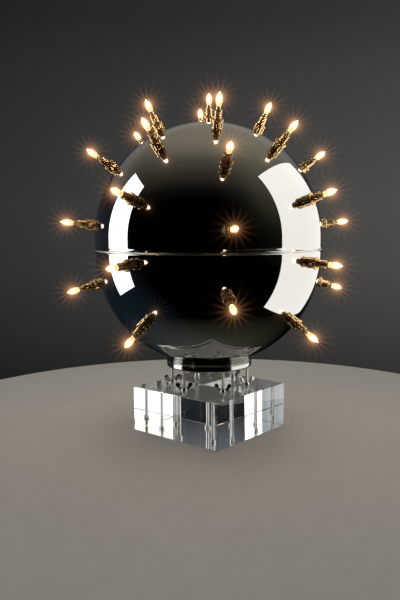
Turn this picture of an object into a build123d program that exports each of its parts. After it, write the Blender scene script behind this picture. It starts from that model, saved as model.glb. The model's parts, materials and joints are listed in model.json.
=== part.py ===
"""Ball lamp: a polished hollow ball on a clear block, set all over with small screw-in bulbs.

Millimetres. The origin is the centre of the block's underside and +Z is up. The block's sides
face along X and Y. Each lamp stands square to the ball's surface, so its own pieces are drawn
once about the Z axis, with Z = 0 on the ball's skin, and then placed by a plane.
"""

import math
import os

from build123d import *

os.makedirs("parts", exist_ok=True)

# --- clear block -------------------------------------------------------------------------
BLOCK_SIDE = 218.0
BLOCK_HEIGHT = 89.5
BLOCK_EDGE = 0.6
STUD_HOLE_R = 3.75
NUT_POCKET_R = 6.8
NUT_POCKET_DEPTH = 5.6

# --- six M6 studs and what is on them ----------------------------------------------------
STUD_COUNT = 6
STUD_CIRCLE_R = 76.9
STUD_FIRST_ANGLE = 30.0
STUD_R = 3.0
STUD_FOOT_Z = 0.8
WASHER_R = 6.0
WASHER_BORE_R = 3.2
WASHER_THICK = 1.6
HEX_M6_FLATS = 10.0
HEX_M6_HIGH = 3.2
THREAD_GAP = 0.06
WING_HUB_FOOT_R = 5.8
WING_HUB_TOP_R = 4.5
WING_HUB_HIGH = 7.0
WING_SPAN = 34.0
WING_HIGH = 17.0
WING_TIP_R = 4.6
WING_THICK = 2.8
WING_TURNS = (66.0, 28.0, 128.0, 52.0, 40.0, 34.0)

# --- flange and neck ---------------------------------------------------------------------
FLANGE_R = 85.8
FLANGE_FOOT_Z = 131.8
FLANGE_THICK = 10.2
FLANGE_TOP_Z = FLANGE_FOOT_Z + FLANGE_THICK
STUD_IN_FLANGE = 8.0
NECK_BORE_R = 66.0
NECK_GROOVE_R = 83.4
NECK_GROOVE_HIGH = 2.6
NECK_BEAD_R = 88.0
NECK_BEAD_HIGH = 2.6
NECK_STEP_R = 85.6
NECK_STEP_HIGH = 5.0
NECK_STEP_IN = 0.8
NECK_EDGE_R = 83.8
CLAMP_OUTER_R = 92.0
CLAMP_BORE_R = 67.0
CLAMP_TOP_Z = 159.0
NECK_SCREW_CIRCLE_R = 73.0
NECK_SCREW_R = 2.5
NECK_SCREW_HEAD_R = 4.25
NECK_SCREW_HEAD_HIGH = 5.0
NECK_SCREW_IN_FLANGE = 7.0

# --- ball --------------------------------------------------------------------------------
BALL_R = 225.0
SKIN = 1.2
LOWER_CENTRE_Z = 361.7
UPPER_CENTRE_Z = 389.3
SEAM_Z = 366.3
SEAM_GAP = 2.0
LIP_INNER_R = 221.8
LIP_ROLL_R = 3.0
UPPER_LIP_PROUD = 1.0
NECK_OPENING_R = 80.0
JOINT_RING_R = 221.5
JOINT_RING_THICK = 1.8
JOINT_RING_FOOT_Z = 356.5
JOINT_RING_TOP_Z = 388.0
JOINT_RIB_R = 223.2
SLIP = 0.05

# --- cable inlet and terminals -----------------------------------------------------------
INLET_BORE_R = 4.2
INLET_THREAD_R = 7.9
INLET_HEX_FLATS = 19.0
INLET_HEX_HIGH = 5.0
INLET_TAIL = 16.0
INLET_NUT_FLATS = 22.0
INLET_NUT_HIGH = 4.0
TERMINAL_LONG = 58.0
TERMINAL_WIDE = 20.0
TERMINAL_HIGH = 17.0
TERMINAL_WAYS = 6
TERMINAL_OFFSET = 32.0

# --- lamps -------------------------------------------------------------------------------
LAMP_TURN = 3.8
RING_STEP = 90.0
SQUARE_UPPER = (47.7, 18.7)
SQUARE_LOWER = (-2.3, -31.8)
DIAGONAL_UPPER = (65.0, 35.7, 6.3)
DIAGONAL_LOWER = (-15.8,)
TOP_LAMP = (130.0, 79.5)
LEAN = 2.3
LEAN_TOWARDS = -35.0
SEAM_KEEP_OUT = -3.8

TAIL_R = 4.95
TAIL_LONG = 8.0
TAIL_BORE_R = 3.0
TAIL_HOLE_R = 5.2
BODY_R = 10.2
BODY_HIGH = 13.4
COLLAR_R = 11.6
COLLAR_HIGH = 4.0
SLEEVE_R = 7.2
SLEEVE_WALL = 0.9
SLEEVE_SEAT = 12.0
SLEEVE_TOP = 34.0
SLEEVE_RIM_R = 7.7
INSERT_FLOOR = 17.5
INSERT_BORE_R = 5.1
INSERT_TOP = 31.5
CONTACT_HOLE_R = 1.1
HEX_M10_FLATS = 14.0
HEX_M10_HIGH = 3.0
CAP_R = 4.75
CAP_WALL = 0.45
CAP_FOOT = 21.5
CAP_TOP = 41.2
CAP_RIM_R = 5.5
TIP_FOOT = 19.0
TIP_R = 2.3
GLASS_FOOT = 38.5
GLASS_NECK_R = 4.1
GLASS_BELLY = 50.5
GLASS_BELLY_R = 6.2
GLASS_TIP = 66.5
GLASS_WALL = 0.6
STEM_FOOT = 36.0
STEM_TOP = 49.0
STEM_R = 1.2
FILAMENT_R = 0.45
FILAMENT_TOP = 59.5


def save(builder, name):
    """Label one finished piece and write its STEP file."""
    builder.part.label = name
    export_step(builder.part, f"parts/{name}.step")


def leaned(azimuth, elevation):
    """Unit direction of a lamp, after the whole pattern's small lean to one side."""
    a = math.radians(azimuth)
    e = math.radians(elevation)
    upright = Vector(math.cos(e) * math.cos(a), math.cos(e) * math.sin(a), math.sin(e))
    hinge = Axis((0, 0, 0), (-math.sin(math.radians(LEAN_TOWARDS)), math.cos(math.radians(LEAN_TOWARDS)), 0))
    return upright.rotate(hinge, LEAN)


def lamp_plane(azimuth, elevation, centre_z):
    """Plane on the ball's skin whose Z axis is the lamp's own axis."""
    out = leaned(azimuth, elevation)
    if centre_z == LOWER_CENTRE_Z:
        highest = math.sin(math.radians(SEAM_KEEP_OUT))
        if out.Z > highest:
            flat = math.sqrt((1 - highest**2) / (out.X**2 + out.Y**2))
            out = Vector(out.X * flat, out.Y * flat, highest)
    foot = Vector(0, 0, centre_z) + out * BALL_R
    sideways = Vector(0, 0, 1).cross(out).normalized()
    return Plane(origin=foot, x_dir=sideways, z_dir=out)


def ring_of_lamps(elevations, first_azimuth, centre_z):
    """Four lamps on each elevation, a quarter turn apart."""
    return [
        lamp_plane(first_azimuth + RING_STEP * k, elevation, centre_z)
        for elevation in elevations
        for k in range(4)
    ]


SQUARE_AZIMUTH = LAMP_TURN
DIAGONAL_AZIMUTH = LAMP_TURN + RING_STEP / 2
UPPER_LAMPS = (
    ring_of_lamps(SQUARE_UPPER, SQUARE_AZIMUTH, UPPER_CENTRE_Z)
    + ring_of_lamps(DIAGONAL_UPPER, DIAGONAL_AZIMUTH, UPPER_CENTRE_Z)
    + [lamp_plane(*TOP_LAMP, UPPER_CENTRE_Z)]
)
LOWER_LAMPS = ring_of_lamps(SQUARE_LOWER, SQUARE_AZIMUTH, LOWER_CENTRE_Z) + ring_of_lamps(
    DIAGONAL_LOWER, DIAGONAL_AZIMUTH, LOWER_CENTRE_Z
)


def stud_ring():
    """The six stud positions, in the sketch that asks for them."""
    return PolarLocations(STUD_CIRCLE_R, STUD_COUNT, start_angle=STUD_FIRST_ANGLE)


def neck_screw_ring():
    """The six neck screw positions, half way between the studs."""
    return PolarLocations(NECK_SCREW_CIRCLE_R, STUD_COUNT)


def sphere_z(centre_z, sphere_r, r):
    """Height of the underside of a sphere at a distance r from the Z axis."""
    return centre_z - math.sqrt(sphere_r**2 - r**2)


# ============================ block, studs and their fasteners ===========================
with BuildPart() as acrylic_block:
    Box(BLOCK_SIDE, BLOCK_SIDE, BLOCK_HEIGHT, align=(Align.CENTER, Align.CENTER, Align.MIN))
    chamfer(acrylic_block.edges(), BLOCK_EDGE)
    with BuildSketch():
        with stud_ring():
            Circle(STUD_HOLE_R)
    extrude(amount=BLOCK_HEIGHT, mode=Mode.SUBTRACT)
    with BuildSketch():
        with stud_ring():
            Circle(NUT_POCKET_R)
    extrude(amount=NUT_POCKET_DEPTH, mode=Mode.SUBTRACT)
save(acrylic_block, "acrylic_block")

stud_top = FLANGE_FOOT_Z + STUD_IN_FLANGE - 0.4
with BuildPart() as threaded_studs:
    with BuildSketch(Plane.XY.offset(STUD_FOOT_Z)):
        with stud_ring():
            Circle(STUD_R)
    extrude(amount=stud_top - STUD_FOOT_Z)
    chamfer(threaded_studs.edges().filter_by(GeomType.CIRCLE), 0.6)
save(threaded_studs, "threaded_studs")

pocket_washer_z = NUT_POCKET_DEPTH - WASHER_THICK
with BuildPart() as stud_washers:
    for level in (pocket_washer_z, BLOCK_HEIGHT):
        with BuildSketch(Plane.XY.offset(level)):
            with stud_ring():
                Circle(WASHER_R)
                Circle(WASHER_BORE_R, mode=Mode.SUBTRACT)
        extrude(amount=WASHER_THICK)
save(stud_washers, "stud_washers")

with BuildPart() as base_nuts:
    with BuildSketch(Plane.XY.offset(pocket_washer_z - HEX_M6_HIGH)):
        with stud_ring():
            RegularPolygon(HEX_M6_FLATS / 2, 6, major_radius=False)
            Circle(STUD_R + THREAD_GAP, mode=Mode.SUBTRACT)
    extrude(amount=HEX_M6_HIGH)
save(base_nuts, "base_nuts")

wing_foot_z = BLOCK_HEIGHT + WASHER_THICK + SLIP
for index in range(STUD_COUNT):
    angle = math.radians(STUD_FIRST_ANGLE + 360 / STUD_COUNT * index)
    centre = (STUD_CIRCLE_R * math.cos(angle), STUD_CIRCLE_R * math.sin(angle), wing_foot_z)
    turn = math.radians(WING_TURNS[index])
    upright = Plane(
        origin=centre,
        x_dir=(math.cos(turn), math.sin(turn), 0),
        z_dir=(math.sin(turn), -math.cos(turn), 0),
    )
    wing_x = WING_SPAN / 2 - WING_TIP_R
    wing_z = WING_HIGH - WING_TIP_R
    with BuildPart() as wing_nut:
        with BuildSketch(upright):
            with BuildLine():
                l1 = Line((0, 0), (WING_HUB_FOOT_R, 0))
                l2 = Line(l1 @ 1, (WING_HUB_FOOT_R, 1.2))
                l3 = Line(l2 @ 1, (WING_HUB_TOP_R, WING_HUB_HIGH))
                l4 = Line(l3 @ 1, (0, WING_HUB_HIGH))
                Line(l4 @ 1, l1 @ 0)
            make_face()
        revolve(axis=Axis(centre, (0, 0, 1)))
        with BuildSketch(upright) as wings:
            for side in (-1, 1):
                with BuildLine():
                    Polyline(
                        (0, 1.6),
                        (side * (WING_HUB_FOOT_R - 0.2), 1.6),
                        (side * (wing_x + WING_TIP_R * 0.95), wing_z - WING_TIP_R * 0.3),
                        (side * (wing_x - WING_TIP_R * 0.62), wing_z + WING_TIP_R * 0.78),
                        (side * WING_HUB_TOP_R, WING_HUB_HIGH - 1.4),
                        (0, WING_HUB_HIGH - 1.4),
                        close=True,
                    )
                make_face()
                with Locations((side * wing_x, wing_z)):
                    Circle(WING_TIP_R)
        extrude(amount=WING_THICK / 2, both=True)
        with BuildSketch(Plane(origin=centre)):
            Circle(STUD_R + THREAD_GAP)
        extrude(amount=WING_HIGH, mode=Mode.SUBTRACT)
    save(wing_nut, f"wing_nut_{index + 1}")

# ================================== flange and neck ======================================
with BuildPart() as mounting_flange:
    with BuildSketch(Plane.XY.offset(FLANGE_FOOT_Z)):
        Circle(FLANGE_R)
        Circle(INLET_THREAD_R + THREAD_GAP, mode=Mode.SUBTRACT)
    extrude(amount=FLANGE_THICK)
    rims = mounting_flange.edges().filter_by(GeomType.CIRCLE).sort_by(SortBy.RADIUS)[-2:]
    fillet(rims, 1.2)
    with BuildSketch(Plane.XY.offset(FLANGE_FOOT_Z)):
        with stud_ring():
            Circle(STUD_R + THREAD_GAP)
    extrude(amount=STUD_IN_FLANGE, mode=Mode.SUBTRACT)
    with BuildSketch(Plane.XY.offset(FLANGE_TOP_Z)):
        with neck_screw_ring():
            Circle(NECK_SCREW_R + THREAD_GAP)
    extrude(amount=-NECK_SCREW_IN_FLANGE, mode=Mode.SUBTRACT)
save(mounting_flange, "mounting_flange")

seat_r = BALL_R + SLIP
with BuildPart() as neck_collar:
    with BuildSketch(Plane.XZ):
        with BuildLine():
            groove_z = FLANGE_TOP_Z + NECK_GROOVE_HIGH
            inner_z = sphere_z(LOWER_CENTRE_Z, seat_r, NECK_BORE_R)
            outer_z = sphere_z(LOWER_CENTRE_Z, seat_r, NECK_EDGE_R)
            mid_r = (NECK_BORE_R + NECK_EDGE_R) / 2
            l1 = Line((NECK_BORE_R, FLANGE_TOP_Z), (NECK_GROOVE_R, FLANGE_TOP_Z))
            l2 = Line(l1 @ 1, (NECK_GROOVE_R, groove_z))
            l3 = Polyline(
                l2 @ 1,
                (NECK_BEAD_R, groove_z),
                (NECK_BEAD_R, groove_z + NECK_BEAD_HIGH),
                (NECK_STEP_R, groove_z + NECK_STEP_HIGH),
                (NECK_STEP_R - NECK_STEP_IN, groove_z + NECK_STEP_HIGH),
                (NECK_EDGE_R, outer_z),
            )
            l4 = ThreePointArc(
                l3 @ 1, (mid_r, sphere_z(LOWER_CENTRE_Z, seat_r, mid_r)), (NECK_BORE_R, inner_z)
            )
            Line(l4 @ 1, l1 @ 0)
        make_face()
    revolve(axis=Axis.Z)
    with BuildSketch(Plane.XY.offset(FLANGE_TOP_Z)):
        with neck_screw_ring():
            Circle(NECK_SCREW_R + 0.3)
    extrude(amount=BALL_R / 5, mode=Mode.SUBTRACT)
save(neck_collar, "neck_collar")

grip_r = BALL_R - SKIN - SLIP
with BuildPart() as neck_clamp_ring:
    with BuildSketch(Plane.XZ):
        with BuildLine():
            foot_z = sphere_z(LOWER_CENTRE_Z, grip_r, CLAMP_BORE_R)
            edge_z = sphere_z(LOWER_CENTRE_Z, grip_r, CLAMP_OUTER_R)
            mid_r = (CLAMP_BORE_R + CLAMP_OUTER_R) / 2
            l1 = ThreePointArc(
                (CLAMP_BORE_R, foot_z),
                (mid_r, sphere_z(LOWER_CENTRE_Z, grip_r, mid_r)),
                (CLAMP_OUTER_R, edge_z),
            )
            l2 = Line(l1 @ 1, (CLAMP_OUTER_R, CLAMP_TOP_Z))
            l3 = Line(l2 @ 1, (CLAMP_BORE_R, CLAMP_TOP_Z))
            Line(l3 @ 1, l1 @ 0)
        make_face()
    revolve(axis=Axis.Z)
    with BuildSketch(Plane.XY.offset(FLANGE_TOP_Z)):
        with neck_screw_ring():
            Circle(NECK_SCREW_R + 0.3)
    extrude(amount=BALL_R / 5, mode=Mode.SUBTRACT)
save(neck_clamp_ring, "neck_clamp_ring")

screw_foot_z = FLANGE_TOP_Z - NECK_SCREW_IN_FLANGE + 0.5
with BuildPart() as neck_screws:
    with BuildSketch(Plane.XY.offset(screw_foot_z)):
        with neck_screw_ring():
            Circle(NECK_SCREW_R)
    extrude(amount=CLAMP_TOP_Z - screw_foot_z + 1)
    with BuildSketch(Plane.XY.offset(CLAMP_TOP_Z + SLIP)):
        with neck_screw_ring():
            Circle(NECK_SCREW_HEAD_R)
    extrude(amount=NECK_SCREW_HEAD_HIGH)
    with BuildSketch(Plane.XY.offset(CLAMP_TOP_Z + SLIP + NECK_SCREW_HEAD_HIGH)):
        with neck_screw_ring():
            RegularPolygon(2.0, 6, major_radius=False)
    extrude(amount=-3, mode=Mode.SUBTRACT)
save(neck_screws, "neck_screws")

# ====================================== ball =============================================
lower_lip_z = SEAM_Z - SEAM_GAP / 2
with BuildPart() as lower_shell:
    with BuildSketch(Plane.XZ):
        with BuildLine():
            inner_r = BALL_R - SKIN
            foot_out_z = sphere_z(LOWER_CENTRE_Z, BALL_R, NECK_OPENING_R)
            foot_in_z = sphere_z(LOWER_CENTRE_Z, inner_r, NECK_OPENING_R)
            slant = math.sqrt(0.5)
            low_mid_out = (BALL_R * slant, LOWER_CENTRE_Z - BALL_R * slant)
            low_mid_in = (inner_r * slant, LOWER_CENTRE_Z - inner_r * slant)
            l1 = ThreePointArc((NECK_OPENING_R, foot_out_z), low_mid_out, (BALL_R, LOWER_CENTRE_Z))
            l2 = Line(l1 @ 1, (BALL_R, lower_lip_z - LIP_ROLL_R))
            l3 = ThreePointArc(
                l2 @ 1,
                (BALL_R - LIP_ROLL_R * (1 - slant), lower_lip_z - LIP_ROLL_R * (1 - slant)),
                (BALL_R - LIP_ROLL_R, lower_lip_z),
            )
            l4 = Line(l3 @ 1, (LIP_INNER_R, lower_lip_z))
            l5 = Line(l4 @ 1, (LIP_INNER_R, lower_lip_z - 1.6))
            l6 = Line(l5 @ 1, (inner_r, LOWER_CENTRE_Z))
            l7 = ThreePointArc(l6 @ 1, low_mid_in, (NECK_OPENING_R, foot_in_z))
            Line(l7 @ 1, l1 @ 0)
        make_face()
    revolve(axis=Axis.Z)
    for plane in LOWER_LAMPS:
        with BuildSketch(plane.offset(-6)):
            Circle(TAIL_HOLE_R)
        extrude(amount=12, mode=Mode.SUBTRACT)
save(lower_shell, "lower_shell")

upper_lip_z = SEAM_Z + SEAM_GAP / 2
with BuildPart() as upper_shell:
    with BuildSketch(Plane.XZ):
        with BuildLine():
            bead_r = BALL_R + UPPER_LIP_PROUD
            bead_top = upper_lip_z + 2 * LIP_ROLL_R
            l1 = Line((LIP_INNER_R, upper_lip_z), (bead_r - LIP_ROLL_R, upper_lip_z))
            l2 = ThreePointArc(
                l1 @ 1, (bead_r, upper_lip_z + LIP_ROLL_R), (bead_r - UPPER_LIP_PROUD, bead_top - 0.8)
            )
            l3 = Line(l2 @ 1, (BALL_R, UPPER_CENTRE_Z))
            l4 = ThreePointArc(
                l3 @ 1, (BALL_R * slant, UPPER_CENTRE_Z + BALL_R * slant), (0, UPPER_CENTRE_Z + BALL_R)
            )
            l5 = Line(l4 @ 1, (0, UPPER_CENTRE_Z + inner_r))
            l6 = ThreePointArc(
                l5 @ 1, (inner_r * slant, UPPER_CENTRE_Z + inner_r * slant), (inner_r, UPPER_CENTRE_Z)
            )
            l7 = Line(l6 @ 1, (inner_r, bead_top))
            l8 = Line(l7 @ 1, (LIP_INNER_R, bead_top - 2))
            Line(l8 @ 1, l1 @ 0)
        make_face()
    revolve(axis=Axis.Z)
    for plane in UPPER_LAMPS:
        with BuildSketch(plane.offset(-6)):
            Circle(TAIL_HOLE_R)
        extrude(amount=12, mode=Mode.SUBTRACT)
save(upper_shell, "upper_shell")

with BuildPart() as seam_joint_ring:
    with BuildSketch(Plane.XZ):
        with BuildLine():
            ring_in_r = JOINT_RING_R - JOINT_RING_THICK
            Polyline(
                (ring_in_r, JOINT_RING_FOOT_Z),
                (JOINT_RING_R, JOINT_RING_FOOT_Z),
                (JOINT_RING_R, lower_lip_z + SLIP),
                (JOINT_RIB_R, lower_lip_z + SLIP),
                (JOINT_RIB_R, upper_lip_z - SLIP),
                (JOINT_RING_R, upper_lip_z - SLIP),
                (JOINT_RING_R, JOINT_RING_TOP_Z - 1),
                (JOINT_RING_R - 1, JOINT_RING_TOP_Z),
                (ring_in_r, JOINT_RING_TOP_Z),
                close=True,
            )
        make_face()
    revolve(axis=Axis.Z)
save(seam_joint_ring, "seam_joint_ring")

# ============================== cable inlet and terminals ================================
with BuildPart() as cable_inlet:
    with BuildSketch(Plane.XY.offset(FLANGE_FOOT_Z - SLIP)):
        RegularPolygon(INLET_HEX_FLATS / 2, 6, major_radius=False)
    extrude(amount=-INLET_HEX_HIGH)
    with BuildSketch(Plane.XY.offset(FLANGE_FOOT_Z - SLIP)):
        Circle(INLET_THREAD_R)
    extrude(amount=INLET_TAIL)
    with BuildSketch(Plane.XY.offset(FLANGE_FOOT_Z - INLET_HEX_HIGH - 1)):
        Circle(INLET_BORE_R)
    extrude(amount=INLET_TAIL + INLET_HEX_HIGH + 2, mode=Mode.SUBTRACT)
    with BuildSketch(Plane.XY.offset(FLANGE_TOP_Z + SLIP)):
        RegularPolygon(INLET_NUT_FLATS / 2, 6, major_radius=False)
        Circle(INLET_THREAD_R + THREAD_GAP, mode=Mode.SUBTRACT)
    extrude(amount=INLET_NUT_HIGH)
save(cable_inlet, "cable_inlet")

with BuildPart() as terminal_block:
    with BuildSketch(Plane.XY.offset(FLANGE_TOP_Z + SLIP)):
        with Locations((0, TERMINAL_OFFSET)):
            RectangleRounded(TERMINAL_LONG, TERMINAL_WIDE, 2)
    extrude(amount=TERMINAL_HIGH)
    with BuildSketch(Plane.XY.offset(FLANGE_TOP_Z + TERMINAL_HIGH + SLIP)):
        with Locations((0, TERMINAL_OFFSET)):
            with GridLocations(TERMINAL_LONG / TERMINAL_WAYS, TERMINAL_WIDE * 0.5, TERMINAL_WAYS, 2):
                Circle(2.6)
    extrude(amount=-9, mode=Mode.SUBTRACT)
save(terminal_block, "terminal_block")

# ================================ one holder, drawn upright ==============================
collar_top = BODY_HIGH + COLLAR_HIGH
with BuildPart() as holder_body:
    with BuildSketch(Plane.XZ):
        with BuildLine():
            seat_bore_r = SLEEVE_R + 0.02
            l1 = Line((TAIL_BORE_R, -TAIL_LONG), (TAIL_R, -TAIL_LONG))
            l2 = Line(l1 @ 1, (TAIL_R, 0))
            l3 = Line(l2 @ 1, (BODY_R, 0))
            l4 = Line(l3 @ 1, (BODY_R, BODY_HIGH))
            l5 = Line(l4 @ 1, (BODY_R + 0.8, BODY_HIGH))
            l6 = ThreePointArc(
                l5 @ 1, (COLLAR_R, BODY_HIGH + COLLAR_HIGH / 2), (BODY_R + 0.8, collar_top)
            )
            l7 = Line(l6 @ 1, (seat_bore_r, collar_top))
            l8 = Line(l7 @ 1, (seat_bore_r, SLEEVE_SEAT))
            l9 = Line(l8 @ 1, (TAIL_BORE_R, SLEEVE_SEAT))
            Line(l9 @ 1, l1 @ 0)
        make_face()
    revolve(axis=Axis.Z)

with BuildPart() as holder_sleeve:
    with BuildSketch(Plane.XZ):
        with BuildLine():
            sleeve_in_r = SLEEVE_R - SLEEVE_WALL
            l1 = Line((sleeve_in_r, SLEEVE_SEAT + SLIP), (SLEEVE_R, SLEEVE_SEAT + SLIP))
            l2 = Line(l1 @ 1, (SLEEVE_R, SLEEVE_TOP - 1.6))
            l3 = ThreePointArc(l2 @ 1, (SLEEVE_RIM_R, SLEEVE_TOP - 0.8), (SLEEVE_R, SLEEVE_TOP))
            l4 = Line(l3 @ 1, (sleeve_in_r, SLEEVE_TOP))
            Line(l4 @ 1, l1 @ 0)
        make_face()
    revolve(axis=Axis.Z)

with BuildPart() as holder_insert:
    with BuildSketch(Plane.XZ):
        with BuildLine():
            insert_r = SLEEVE_R - SLEEVE_WALL - 0.03
            Polyline(
                (CONTACT_HOLE_R, SLEEVE_SEAT + 0.1),
                (insert_r, SLEEVE_SEAT + 0.1),
                (insert_r, INSERT_TOP),
                (INSERT_BORE_R, INSERT_TOP),
                (INSERT_BORE_R, INSERT_FLOOR),
                (CONTACT_HOLE_R, INSERT_FLOOR),
                close=True,
            )
        make_face()
    revolve(axis=Axis.Z)

nut_face = -SKIN - 0.25
with BuildPart() as holder_nut:
    with BuildSketch(Plane.XY.offset(nut_face)):
        RegularPolygon(HEX_M10_FLATS / 2, 6, major_radius=False)
        Circle(TAIL_R + THREAD_GAP, mode=Mode.SUBTRACT)
    extrude(amount=-HEX_M10_HIGH)

for half, lamps in (("upper", UPPER_LAMPS), ("lower", LOWER_LAMPS)):
    for stem, piece in (
        ("holder_bodies", holder_body),
        ("holder_sleeves", holder_sleeve),
        ("holder_inserts", holder_insert),
        ("holder_nuts", holder_nut),
    ):
        with BuildPart() as group:
            with Locations(*lamps):
                add(piece.part)
        save(group, f"{stem}_{half}")

# ================================ one bulb, drawn upright ================================
with BuildPart() as bulb:
    with BuildSketch(Plane.XZ):
        with BuildLine():
            shoulder = GLASS_BELLY + (GLASS_TIP - GLASS_BELLY) * 0.55
            bore_r = GLASS_NECK_R - GLASS_WALL
            l1 = Line((GLASS_NECK_R, GLASS_FOOT), (GLASS_NECK_R, CAP_TOP + 0.2))
            l2 = Spline(
                l1 @ 1,
                (GLASS_BELLY_R, GLASS_BELLY),
                (GLASS_BELLY_R * 0.62, shoulder),
                (0.5, GLASS_TIP),
                tangents=((0.1, 1), (-0.25, 1)),
            )
            l3 = Line(l2 @ 1, (0, GLASS_TIP))
            l4 = Line(l3 @ 1, (0, GLASS_TIP - 3 * GLASS_WALL))
            l5 = Spline(
                l4 @ 1,
                (GLASS_BELLY_R * 0.62 - GLASS_WALL, shoulder),
                (GLASS_BELLY_R - GLASS_WALL, GLASS_BELLY),
                (bore_r, CAP_TOP + 0.2),
                tangents=((0.6, -1), (-0.1, -1)),
            )
            l6 = Line(l5 @ 1, (bore_r, GLASS_FOOT))
            Line(l6 @ 1, l1 @ 0)
        make_face()
    revolve(axis=Axis.Z)
    with BuildSketch(Plane.XZ):
        with BuildLine():
            cap_in_r = CAP_R - CAP_WALL
            Polyline(
                (0, TIP_FOOT),
                (TIP_R * 0.6, TIP_FOOT),
                (TIP_R, TIP_FOOT + 0.8),
                (TIP_R, CAP_FOOT),
                (CAP_R - 0.8, CAP_FOOT),
                (CAP_R, CAP_FOOT + 0.8),
                (CAP_R, CAP_TOP - 1.2),
                (CAP_RIM_R, CAP_TOP),
                (cap_in_r, CAP_TOP),
                (cap_in_r, CAP_FOOT + 1.6),
                (0, CAP_FOOT + 1.6),
                close=True,
            )
        make_face()
    revolve(axis=Axis.Z)
    with BuildSketch(Plane.XZ):
        with BuildLine():
            Polyline(
                (0, STEM_FOOT),
                (STEM_R, STEM_FOOT),
                (STEM_R, STEM_TOP),
                (FILAMENT_R, STEM_TOP + 1),
                (FILAMENT_R, FILAMENT_TOP),
                (0, FILAMENT_TOP),
                close=True,
            )
        make_face()
    revolve(axis=Axis.Z)

for number, plane in enumerate(UPPER_LAMPS + LOWER_LAMPS, start=1):
    with BuildPart() as placed_bulb:
        with Locations(plane):
            add(bulb.part)
    save(placed_bulb, f"bulb_{number:02d}")
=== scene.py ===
"""Looks of the ball lamp: a mirror-polished ball set with lit bulbs, on studs over a clear block.

Every size below is in millimetres, like the CAD model's, and becomes metres where a mesh is made.
What stands on the ball is drawn once, upright, with zero on the ball's skin, and then stood on the
axis of each bulb's own joint.
"""

import json
import math

import bpy
import numpy as np
from mathutils import Matrix, Vector

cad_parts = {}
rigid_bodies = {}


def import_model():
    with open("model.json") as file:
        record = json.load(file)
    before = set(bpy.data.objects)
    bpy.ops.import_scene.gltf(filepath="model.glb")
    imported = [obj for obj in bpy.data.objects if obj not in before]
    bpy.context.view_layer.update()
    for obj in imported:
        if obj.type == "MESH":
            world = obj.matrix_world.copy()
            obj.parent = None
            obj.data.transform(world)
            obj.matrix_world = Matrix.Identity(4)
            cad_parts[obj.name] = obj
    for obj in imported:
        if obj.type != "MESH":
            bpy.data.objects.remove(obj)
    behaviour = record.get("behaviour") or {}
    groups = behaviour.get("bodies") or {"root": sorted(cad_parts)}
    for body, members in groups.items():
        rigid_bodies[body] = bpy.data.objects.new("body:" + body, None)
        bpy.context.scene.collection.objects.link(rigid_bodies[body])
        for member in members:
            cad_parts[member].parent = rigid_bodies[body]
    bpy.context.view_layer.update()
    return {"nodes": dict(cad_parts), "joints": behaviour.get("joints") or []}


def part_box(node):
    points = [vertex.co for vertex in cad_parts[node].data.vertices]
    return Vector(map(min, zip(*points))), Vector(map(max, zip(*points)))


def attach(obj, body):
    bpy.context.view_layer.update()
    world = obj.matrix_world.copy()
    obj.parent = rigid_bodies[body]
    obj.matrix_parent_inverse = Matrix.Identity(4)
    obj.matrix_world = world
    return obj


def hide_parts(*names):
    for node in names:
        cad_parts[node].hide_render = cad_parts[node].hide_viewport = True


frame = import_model()

MM = 0.001
UP = Vector((0, 0, 1))

# --- ball and neck, as the CAD model has them --------------------------------------------
BALL_R = 225.0
SKIN = 1.2
LOWER_CENTRE_Z = 361.7
UPPER_CENTRE_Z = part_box("upper_shell")[1].z / MM - BALL_R
NECK_OPENING_R = 80.0
SEAM_Z = 366.3
SEAM_HALF_GAP = 1.0
LIP_INNER_R = 221.8
LIP_ROLL_R = 3.0
UPPER_LIP_PROUD = 1.0
FLANGE_R = 85.8
FLANGE_FOOT_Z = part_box("mounting_flange")[0].z / MM
FLANGE_TOP_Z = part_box("mounting_flange")[1].z / MM
FLANGE_FOOT_ROUND = 3.6
FLANGE_TOP_ROUND = 1.2
INLET_THREAD_R = 8.0
COLLAR_BORE_R = 66.0
COLLAR_GROOVE_R = 83.4
COLLAR_GROOVE_HIGH = 2.6
COLLAR_FOOT_R = 88.0
COLLAR_TOP_R = 83.8
COLLAR_RINGS = 3
RING_CREST_R = 0.8

# --- studs, washers and wing nuts --------------------------------------------------------
BLOCK_TOP_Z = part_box("acrylic_block")[1].z / MM
STUD_R = 3.0
STUD_TIP_R = 2.3
THREAD_PITCH = 1.0
THREAD_DEPTH = 0.55
THREAD_STEEPNESS = 1.25
WASHER_BORE_R = 3.2
WASHER_R = 6.0
WASHER_THICK = 1.6
WING_HUB_FOOT_R = 5.8
WING_HUB_TOP_R = 4.5
WING_HUB_HIGH = 7.0
WING_SPAN = 34.0
WING_HIGH = 17.0
WING_TIP_R = 4.6
WING_THICK = 3.0
# how far a wing's outline is pulled in, at which share of its half thickness
WING_ROUNDING = ((0.8, 1.0), (0.25, 0.86), (0.0, 0.55))
# how each wing nut stands, in degrees
WING_TURNS = (66.0, 28.0, 128.0, 52.0, 40.0, 34.0)

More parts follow.
